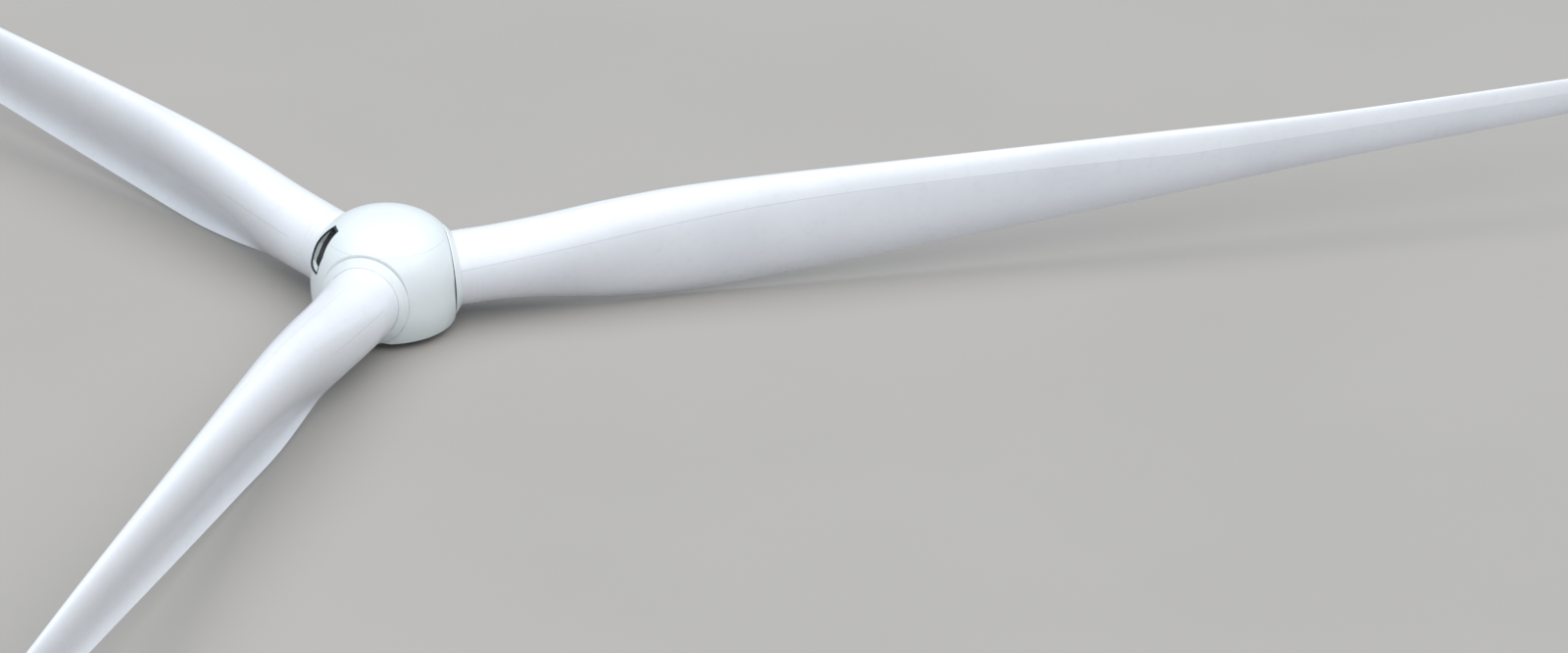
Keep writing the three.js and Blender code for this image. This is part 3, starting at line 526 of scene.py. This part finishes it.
def blade_rows():
    """Distances of the rows from the axis, closer together at the root, and the share of the chord left.
    The tip follows an ellipse: a step sin(t) outwards leaves sqrt(1 - sin(t)^2 (1 - e^2)) of the chord,
    where e is the share that the tip's end keeps."""
    inner = np.arange(ROOT_FACE, ROOT_ROWS_END, ROOT_ROW_STEP)
    middle = np.linspace(MIDDLE_START, MIDDLE_END, MIDDLE_ROWS)
    outer = np.linspace(OUTER_START, TIP_START, OUTER_ROWS)
    step = np.sin(np.linspace(0, math.pi / 2, TIP_ROWS + 1))[1:]
    tip = TIP_START + (ROTOR_RADIUS - TIP_START) * step
    share = np.sqrt(1 - step**2 * (1 - TIP_CHORD_SHARE**2))
    place = np.concatenate([inner, middle, outer, tip])
    return place, np.concatenate([np.ones(len(place) - len(tip)), share])


def blade_skin():
    """Points of the skin, row by row. Along the section, s runs from about 0 at the leading edge to about
    1. Across it, half the thickness, 5 t times the wing curve, lies above and below a middle line. A bump
    that is highest at the fold is taken off the pressure side, and a share of it is added to the suction
    side. Both ways are turned by the twist and moved by the bend, which grows with a power of the distance.
    The section grows on each raised ring."""
    place, share = blade_rows()
    radius = np.minimum(place, TIP_START)
    value = {key: section_value(key, radius)[:, None] for key in SHAPES}
    angle = (np.arange(AROUND) + 0.5) * 2 * math.pi / AROUND
    s = 0.5 + np.cos(angle)[None, :] / 2 * (1 - EDGE_CUT * value["foil"])
    root, first, second, third, fourth = WING_CURVE
    form = root * np.sqrt(s) + first * s + second * s**2 + third * s**3 + fourth * s**4
    half = 5 * value["thickness"] * form + EDGE_THICKNESS * s / 2
    wing = np.sign(np.sin(angle))[None, :] * half - CAMBER * CAMBER_PEAK * s**2 * (1 - s)
    circle = np.sin(angle)[None, :] * value["thickness"] / 2
    chord = value["chord"] * share[:, None]
    rise = sum(np.clip(1.5 - np.abs(place - p) / RING_HALF_WIDTH, 0, 1) for p in RING_PLACES)
    grow = 1 + 2 * RING_RISE * rise[:, None] / value["chord"]
    fold = value["fold"]
    bump = (s / fold) ** (fold / (1 - fold)) * (1 - s) / (1 - fold)
    hollow = value["hollow"] * bump * np.where(np.sin(angle) > 0, 1, SUCTION_SHARE)[None, :]
    across = chord * (circle + (wing - circle) * value["foil"] - hollow) * grow
    length = chord * (value["axis"] - s) * grow
    bend = BEND * (np.clip(place - BEND_START, 0, None) / (ROTOR_RADIUS - BEND_START)) ** BEND_POWER
    cos, sin = np.cos(value["twist"]), np.sin(value["twist"])
    x = np.repeat(place[:, None], AROUND, 1)
    y = bend[:, None] + across * cos + length * sin
    z = length * cos - across * sin
    return np.stack([x, y, z], -1)


def bore_rows():
    """The hollow root: a point at the end of the bore, then two circles, as far as the root's face."""
    angle = (np.arange(AROUND) + 0.5) * 2 * math.pi / AROUND + SHAPES["twist"][0]
    circle = np.stack([np.zeros(AROUND), np.sin(angle), -np.cos(angle)], -1)
    sizes = np.array([0.0, ROOT_BORE, ROOT_BORE])
    places = np.array([ROOT_BORE_END, ROOT_BORE_END, ROOT_FACE])
    return circle[None] * sizes[:, None, None] + places[:, None, None] * np.array([1.0, 0, 0])


def section_map(faces, distance):
    """U and V of every corner: U counts round the section from the trailing edge, without a jump back to
    zero in the last column, and V is the distance from the rotor's axis in metres."""
    first = faces[:, :1] % AROUND
    steps = np.array([0, 1, 1, 0])
    u = (first + steps + 0.5) / AROUND
    return np.stack([u, distance[faces // AROUND]], -1)


skin = blade_skin()
tip_point = np.repeat(skin[-1:].mean(1, keepdims=True), AROUND, 1)
rows = np.concatenate([bore_rows(), skin, tip_point])
distance = rows[:, :, 0].mean(1) * MM
blade_faces = grid_faces(len(rows), AROUND, ring=True)
blade_map = section_map(blade_faces, distance)
for letter in blade_joints:
    points = to_blade(rows, letter)
    piece = new_piece(
        "blade_skin_" + letter, points, blade_faces, blade_gelcoat, "blade_" + letter, blade_map
    )
    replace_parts(piece, "blade_shell_" + letter)
print("blade skin:", rows.shape[0], "rows of", AROUND, "points")

# %% [markdown]
# ## The cover's outline
# The cover keeps the weather off the hub. It is a body of revolution: on the real thing a squarish dome of
# glass fibre panels. An ellipse would be too pointed and a cylinder with a cap too square, so its outline
# is a superellipse, (r/R)^p + (z/H)^p = 1 with a power p a little over 2. Below the blades the same curve
# is stretched downwards, so that it reaches the rim with the right radius. Heights count from the blades'
# plane.

# %% Cover outline
COVER_RADIUS, COVER_APEX, COVER_POWER = 261.6, 247.5, 2.41
COVER_RIM_RADIUS, COVER_RIM_DROP = 239.6, 136.6
COVER_WALL = 4
LIP_INNER_RADIUS = 217.6
SEAM_HEIGHT = 172
PLANE_HEIGHT = 165
SEAT_GAP = 0.3


def cover_radius(height):
    """r = R (1 - (z/H)^p)^(1/p), where H below the plane is chosen so that r at the rim is the rim's
    radius."""
    rim_share = (1 - (COVER_RIM_RADIUS / COVER_RADIUS) ** COVER_POWER) ** (1 / COVER_POWER)
    reach = np.where(height < 0, COVER_RIM_DROP / rim_share, COVER_APEX)
    inside = 1 - np.minimum(np.abs(height) / reach, 1) ** COVER_POWER
    return COVER_RADIUS * inside ** (1 / COVER_POWER)


def dome_heights(start, end, count):
    """Heights spaced evenly in the curve's own angle, z = H sin(t)^(2/p), so that rows close up on the
    shoulder."""
    low, high = np.arcsin((np.array([start, end]) / COVER_APEX) ** (COVER_POWER / 2))
    return COVER_APEX * np.sin(np.linspace(low, high, count)) ** (2 / COVER_POWER)


for height in (0, SEAM_HEIGHT, -COVER_RIM_DROP):
    print("cover radius at", height, "mm:", round(float(cover_radius(np.array(height))), 1))

# %% [markdown]
# ## Openings in the cover
# Each blade comes out through a round opening in a flat face, and the flat lies across the blade. If every
# row of the cover's grid stays at one height, then the flat is only a limit on the radius: no point may lie
# further along the blade than the flat. A column of points is kept on the crease where the flat begins and
# one on the opening's edge, so both come out crisp without any cutting. A boolean cut would also work, but
# it leaves slivers, and the smooth shading breaks up on them.
#
# The opening for lifting lies between two blades. Its half width is given as a function of height, with
# rounded corners at the floor. Two more columns follow its sides, and the faces between them are left out.

# %% Openings
OPENING_PLANE, OPENING_RADIUS = 212.7, 150
CONE = math.asin(blade_joints["b"]["axis"][2])
FLAT_COLUMNS = 14
CURVED_COLUMNS = 60
SLOT_COLUMNS = 16
SLOT_FLOOR, SLOT_SHOULDER, SLOT_TOP = 64, 130, 208
SLOT_FLOOR_HALF, SLOT_SHOULDER_HALF, SLOT_TOP_HALF = 57, 60, 25
SLOT_CORNER = 10
HALF_THIRD = math.radians(60)  # half of the angle between two blades


def flat_at(height):
    """Where the flat face crosses a level cut: its distance from the rotor's axis, and the height seen
    square to the blade. x cos c + z sin c = flat, and z' = z cos c - x sin c."""
    x = (OPENING_PLANE - height * math.sin(CONE)) / math.cos(CONE)
    return x, height * math.cos(CONE) - x * math.sin(CONE)


def opening_half_width(height, least):
    """Half width of the round opening at a height: sqrt(r^2 - z'^2), and not under the least value."""
    across = flat_at(height)[1]
    return np.maximum(np.sqrt(np.maximum(OPENING_RADIUS**2 - across**2, 0)), least)


def slot_half_width(height):
    """Half width of the opening for lifting: straight lines between floor, shoulder and top, with the
    floor's corners rounded: half - c + sqrt(c^2 - (c - rise)^2) over the lowest c millimetres."""
    level = np.clip(height, SLOT_FLOOR, SLOT_TOP)
    straight = np.interp(
        level, [SLOT_FLOOR, SLOT_SHOULDER, SLOT_TOP], [SLOT_FLOOR_HALF, SLOT_SHOULDER_HALF, SLOT_TOP_HALF]
    )
    short = np.clip(SLOT_CORNER - (level - SLOT_FLOOR), 0, SLOT_CORNER)
    return straight - SLOT_CORNER + np.sqrt(SLOT_CORNER**2 - short**2)


def slot_angle(height):
    """Half of the angle that the opening for lifting takes up round the axis: sin = half width / radius."""
    return np.arcsin(slot_half_width(height) / cover_radius(np.clip(height, SLOT_FLOOR, SLOT_TOP)))


def spread(start, end, count):
    """Values from start to end for every row at once, as rows by columns."""
    return start[:, None] + (end - start)[:, None] * np.linspace(0, 1, count)[None, :]


def both_halves(half, slotted):
    """Angles over a whole third, from those of its half: mirrored, and where the third has the opening for
    lifting, with that opening's columns between."""
    start = half[:, 0]
    between = [spread(-start, start, SLOT_COLUMNS)[:, 1:-1]] if slotted else []
    return np.concatenate([-half[:, ::-1], *between, half], 1)


def third_of_cover(height, turn_degrees, least, slotted):
    """Points over one third of the cover, as rows by columns: at each angle the cover's radius, or the
    flat's where that is nearer. Angles are counted from the third's middle, and a flat lies at each end."""
    radius = cover_radius(height)
    x, across = flat_at(height)
    edge = opening_half_width(height, least)
    crease = np.maximum(np.sqrt(np.maximum(radius**2 - x**2, 0)), edge)
    on_flat = HALF_THIRD - np.arctan2(spread(crease, edge, FLAT_COLUMNS), x[:, None])
    start = slot_angle(height) if slotted else np.zeros(len(height))
    curved = spread(start, HALF_THIRD - np.arctan2(crease, x), CURVED_COLUMNS)
    angle = both_halves(np.concatenate([curved, on_flat[:, 1:]], 1), slotted)
    limit = x[:, None] / np.cos(HALF_THIRD - np.abs(angle))
    reach = np.minimum(radius[:, None], limit)
    around = angle + math.radians(turn_degrees)
    level = np.broadcast_to(height[:, None] + PLANE_HEIGHT, reach.shape)
    return np.stack([reach * np.cos(around), reach * np.sin(around), level], -1)


def without_slot(faces, columns, height):
    """The faces of a slotted third, less those between the slot's sides from its floor to its top."""
    row, column = faces[:, 0] // columns, faces[:, 0] % columns
    first = (columns - SLOT_COLUMNS) // 2
    between = (column >= first) & (column < first + SLOT_COLUMNS - 1)
    middle = (height[row] + height[row + 1]) / 2
    return faces[~(between & (middle > SLOT_FLOOR) & (middle < SLOT_TOP))]


print("opening half width at the plane:", round(float(opening_half_width(np.array([0.0]), 0)[0]), 1), "mm")

# %% [markdown]
# ## Side panels
# The side of the cover is three panels, one between each two blades. At the foot each turns in to a level
# lip that stiffens the rim and rests on the stays. The lip's rows have the same radii as the flat's columns
# at the foot, so the points of both meet along the corner. The panels are moulded sheets, so a Solidify
# modifier gives them their wall inwards, and a fine Bevel rounds the edges as a mould does. Drawing the
# inner face as well would work, but it doubles the formulas for a face that is hardly seen.

# %% Side panels
PANEL_TURNS = {1: 60, 2: 180, 3: 300}
SLOTTED_PANEL = 2
EDGE_ROUND, EDGE_STEPS = 0.7, 2
LIP_ROWS = 2
FOOT_ROWS, WAIST_ROWS, CORNER_ROWS, SHOULDER_ROWS = 33, 17, 6, 36
PLANE_ROW = 0.001  # the first row above the blades' plane, in millimetres


def round_edges(piece, radius, steps, least_angle):
    """A bevel on the edges where the skin turns by more than the least angle."""
    bevel = piece.modifiers.new("edges", "BEVEL")
    bevel.width, bevel.segments = radius * MM, steps
    bevel.limit_method, bevel.angle_limit = "ANGLE", least_angle


def sheet(piece):
    """A wall to the cover skin's inside, of laminate darkened partly as painted shade, and rounded edges."""
    solid = piece.modifiers.new("wall", "SOLIDIFY")
    solid.thickness, solid.offset = COVER_WALL * MM, -1
    solid.use_even_offset = True
    piece.data.materials.append(laminate_and_painted_shade)
    solid.material_offset = 1
    round_edges(piece, EDGE_ROUND, EDGE_STEPS, SHARP_ANGLE)
    return piece


def lip_points(turn_degrees, slotted):
    """Rows of the lip from its inner edge to the rim, each an arc that ends at the flat or the opening."""
    height = np.array([-COVER_RIM_DROP])
    x, edge = flat_at(height)[0][0], opening_half_width(height, 0)[0]
    crease = math.sqrt(COVER_RIM_RADIUS**2 - x**2)
    ends = np.linspace(edge, crease, FLAT_COLUMNS)
    outer = np.sqrt(x**2 + ends**2)
    inner = np.linspace(LIP_INNER_RADIUS, outer[0], LIP_ROWS + 1)[:-1]
    radius = np.concatenate([inner, outer])
    last = HALF_THIRD - np.concatenate([np.arcsin(edge / inner), np.arctan2(ends, x)])
    start = np.full(len(radius), slot_angle(height)[0] if slotted else 0.0)
    around = both_halves(spread(start, last, CURVED_COLUMNS), slotted) + math.radians(turn_degrees)
    level = np.full(around.shape, PLANE_HEIGHT - COVER_RIM_DROP)
    return np.stack([radius[:, None] * np.cos(around), radius[:, None] * np.sin(around), level], -1)


foot = np.linspace(-COVER_RIM_DROP, 0, FOOT_ROWS + 1)[:-1]
waist = dome_heights(PLANE_ROW, SLOT_FLOOR, WAIST_ROWS + 1)[:-1]
corner = SLOT_FLOOR + SLOT_CORNER * (1 - np.cos(np.linspace(0, math.pi / 2, CORNER_ROWS + 1)))
shoulder = dome_heights(corner[-1], SEAM_HEIGHT, SHOULDER_ROWS)
side_heights = np.concatenate([foot, waist, corner[:-1], shoulder])
for number, turn_degrees in PANEL_TURNS.items():
    slotted = number == SLOTTED_PANEL
    wall = third_of_cover(side_heights, turn_degrees, SEAT_GAP / 2, slotted)
    lip = lip_points(turn_degrees, slotted)
    wall_faces = grid_faces(*wall.shape[:2])
    if slotted:
        wall_faces = without_slot(wall_faces, wall.shape[1], side_heights)
    lip_faces = grid_faces(*lip.shape[:2]) + wall.shape[0] * wall.shape[1]
    points = np.concatenate([wall.reshape(-1, 3), lip.reshape(-1, 3)]) * MM
    faces = np.concatenate([wall_faces, lip_faces])
    piece = new_piece(f"side_skin_{number}", points, faces, cover_gelcoat, "hub")
    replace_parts(sheet(piece), f"side_panel_{number}")
    print(piece.name, len(piece.data.polygons), "faces before its wall")

# %% [markdown]
# ## The nose dome
# The dome is one moulding. It is three thirds of the same grid, joined: their outer columns fall on the
# same points above the blades, and the last row shrinks to the apex. Where the flats reach up past the
# seam, the dome has them too.

# %% Nose dome
DOME_FOOT_ROWS, DOME_TOP_ROWS = 21, 46

dome_foot = dome_heights(SEAM_HEIGHT + SEAT_GAP, SLOT_TOP, DOME_FOOT_ROWS + 1)[:-1]
dome_rows = np.concatenate([dome_foot, dome_heights(SLOT_TOP, COVER_APEX, DOME_TOP_ROWS)])
points, faces, count = [], [], 0
for number, turn_degrees in PANEL_TURNS.items():
    slotted = number == SLOTTED_PANEL
    third = third_of_cover(dome_rows, turn_degrees, 0, slotted)
    third_faces = grid_faces(*third.shape[:2])
    if slotted:
        third_faces = without_slot(third_faces, third.shape[1], dome_rows)
    faces.append(third_faces + count)
    points.append(third.reshape(-1, 3))
    count += len(points[-1])
dome = new_piece("nose_skin", np.concatenate(points) * MM, np.concatenate(faces), cover_gelcoat, "hub")
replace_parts(sheet(dome), "nose_dome")
print(dome.name, len(dome.data.polygons), "faces before its wall")

# %% [markdown]
# ## Collars on the blade roots
# A collar is bonded round each blade's root just outside the cover, so that rain can't run in through the
# opening. It is a ring: a flat back close to the cover, a short rim, and a slope down to the root. A ring
# is a profile turned about the blade's axis, so the grid's rows are the profile's points.

# %% Collars
RING_COLUMNS = 144
COLLAR_PROFILE = [(216, 130.3), (216, 158), (221, 158), (242, 132.3), (242, 130.3)]
COLLAR_ROUND, COLLAR_STEPS, COLLAR_SHARP = 1.6, 3, math.radians(20)


def turned_ring(profile):
    """Points of a closed profile, pairs of a place along +X and a radius, turned about the X axis."""
    along, radius = np.array([*profile, profile[0]], float).T
    angle = np.arange(RING_COLUMNS) * 2 * math.pi / RING_COLUMNS
    x = np.broadcast_to(along[:, None], (len(along), RING_COLUMNS))
    return np.stack([x, radius[:, None] * np.sin(angle), radius[:, None] * np.cos(angle)], -1)


collar = turned_ring(COLLAR_PROFILE)
collar_faces = grid_faces(*collar.shape[:2], ring=True)
for letter in blade_joints:
    points = to_blade(collar, letter)
    piece = new_piece("collar_skin_" + letter, points, collar_faces, collar_gelcoat, "blade_" + letter)
    round_edges(piece, COLLAR_ROUND, COLLAR_STEPS, COLLAR_SHARP)
    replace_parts(piece, "root_collar_" + letter)
print("collars:", collar.shape[0] - 1, "profile points by", RING_COLUMNS)

# %% [markdown]
# ## Brush seals
# Between the cover's flat face and the collar stays a narrow gap, because the blade turns and the cover
# doesn't. A black brush seal on the cover closes it, set back a little from the collar's rim, which is why
# the gap reads as a dark line. It is one more turned ring, with a crown in the middle where the bristles
# stand up.

# %% Brush seals
SEAL_PROFILE = [(213.0, 150.8), (213.0, 155.6), (214.2, 156.2), (215.6, 155.2), (215.6, 150.8)]
seal_ring = turned_ring(SEAL_PROFILE)
seal_faces = grid_faces(*seal_ring.shape[:2], ring=True)
for letter in blade_joints:
    piece = new_piece("brush_seal_" + letter, to_blade(seal_ring, letter), seal_faces, seal_rubber, "hub")
print("brush seals:", len(blade_joints))

# %% [markdown]
# ## Bolts
# The bearings' outer rings are bolted to the hub, one bolt every few degrees. A bolt is a washer with a
# six-sided head: a grid whose rows are rings, round for the washer and six-sided for the head, where the
# radius is that of a hexagon, a / cos(t) with t counted from the middle of each side. One small grid is
# copied round the circle by adding offsets to its points, so all the bolts of a ring are a single mesh.

# %% Bolts
BOLT_COLUMNS = 12
HEX_STEP = math.pi / 3  # the angle that one side of the head takes up
BOLT_ROWS = [  # height above the seat, washer's radius or None, head's half width or None, in millimetres
    (0.0, 5.0, None), (0.9, 5.0, None), (0.9, None, 3.4),
    (3.6, None, 3.4), (4.2, None, 2.8), (4.2, 0.0, None),
]
BOLT_COUNT = 48
BOLT_CIRCLE = 140
BEARING_FACE = 163.3


def one_bolt():
    """Rows of a bolt standing along +X with its seat at 0: round rows r, six-sided rows a / cos(t)."""
    angle = np.arange(BOLT_COLUMNS) * 2 * math.pi / BOLT_COLUMNS
    side = np.abs((angle + HEX_STEP / 2) % HEX_STEP - HEX_STEP / 2)
    rows = []
    for height, washer, head in BOLT_ROWS:
        radius = np.full(BOLT_COLUMNS, washer) if head is None else head / np.cos(side)
        rows.append([np.full(BOLT_COLUMNS, height), radius * np.sin(angle), radius * np.cos(angle)])
    return np.array(rows).transpose(0, 2, 1)


def bolt_ring(count, circle, seat):
    """Points and faces of so many bolts on a circle round the X axis, heads towards +X."""
    bolt = one_bolt()
    angle = np.arange(count) * 2 * math.pi / count
    centre = np.stack([np.full(count, seat), circle * np.sin(angle), circle * np.cos(angle)], -1)
    points = centre[:, None] + bolt.reshape(1, -1, 3)
    faces = grid_faces(*bolt.shape[:2], ring=True)
    shift = np.arange(count) * bolt.shape[0] * bolt.shape[1]
    return points.reshape(-1, 3), (faces[None] + shift[:, None, None]).reshape(-1, 4)


bolt_points, bolt_faces = bolt_ring(BOLT_COUNT, BOLT_CIRCLE, BEARING_FACE)
for letter in blade_joints:
    points = to_blade(bolt_points, letter)
    piece = new_piece("bearing_bolts_" + letter, points, bolt_faces, turned_steel, "hub")
print("bolts:", BOLT_COUNT * len(blade_joints), "with", len(bolt_faces) // BOLT_COUNT, "faces each")

# %% [markdown]
# ## Floor and light
# The rotor stands on the flange under its hub, on a plain pale floor. Soft light from a bright sky suits a
# large white object: a small lamp would leave hard shadows. Most of the light comes from above, from a lamp
# half as wide as the sky, so tops are white and undersides are greyer. The sky itself is dimmer and a
# little blue, which cools the sides. The Standard view transform keeps white gelcoat white; the default one
# is made for scenes with very bright lights, and it would turn these whites grey.

# %% Floor, sky and lamps
FLOOR_RADIUS, FLOOR_SIDES = 400.0, 96  # in metres, as the rings are
FLOOR_RINGS = np.array([0.0, 2, 6, 15, 40, 120, FLOOR_RADIUS])
FLOOR_PALE, FLOOR_DARKER, FLOOR_ROUGH = (0.41, 0.385, 0.355), (0.36, 0.34, 0.315), 0.7
FLOOR_NOISE = (0.5, 4.0)  # bumps in a metre, and detail
SKY_COLOUR, SKY_STRENGTH = (0.70, 0.83, 1.0, 1), 0.56
OVERHEAD_COLOUR = (1.0, 0.985, 0.96)
OVERHEAD_STRENGTH, OVERHEAD_WIDTH = 2.85, math.radians(104)
OVERHEAD_LEAN = (math.radians(14), math.radians(2), 0)

finish = Finish("floor", FLOOR_PALE, FLOOR_ROUGH)
finish.feed(finish.shader.inputs["Base Color"], finish.mix(finish.noise(*FLOOR_NOISE), FLOOR_DARKER))
angle = np.arange(FLOOR_SIDES) * 2 * math.pi / FLOOR_SIDES
circle = np.stack([np.cos(angle), np.sin(angle), np.zeros(FLOOR_SIDES)], -1)
floor_faces = grid_faces(len(FLOOR_RINGS), FLOOR_SIDES, ring=True)[:, ::-1]
floor = new_piece("floor", circle[None] * FLOOR_RINGS[:, None, None], floor_faces, finish.material)

world = bpy.data.worlds.new("sky")
world.use_nodes = True
background = world.node_tree.nodes["Background"]
background.inputs["Color"].default_value = SKY_COLOUR
background.inputs["Strength"].default_value = SKY_STRENGTH
bpy.context.scene.world = world
bpy.context.scene.view_settings.view_transform = "Standard"

overhead = bpy.data.objects.new("overhead", bpy.data.lights.new("overhead", "SUN"))
overhead.data.energy, overhead.data.angle = OVERHEAD_STRENGTH, OVERHEAD_WIDTH
overhead.data.color = OVERHEAD_COLOUR
overhead.rotation_euler = OVERHEAD_LEAN
bpy.context.scene.collection.objects.link(overhead)
print("floor out to", FLOOR_RADIUS, "m, overhead light of strength", OVERHEAD_STRENGTH)

# %% [markdown]
# ## Finishes for the CAD nodes
# What the CAD program already shaped well keeps its mesh and gets a finish by the record's material slot.

# %% Dress the CAD nodes
FINISH_OF_SLOT = {
    "cover_gelcoat": cover_gelcoat, "blade_gelcoat": blade_gelcoat, "collar_gelcoat": collar_gelcoat,
    "cast_iron_painted": cast_paint, "bearing_steel": turned_steel, "drive_paint": drive_paint,
    "bracket_steel": bracket_paint, "seal_rubber": seal_rubber,
}
for row in frame["record"]["subparts"]:
    node = frame["nodes"][row["node"]]
    node.data.materials.clear()
    node.data.materials.append(FINISH_OF_SLOT[row["material_slot"]])
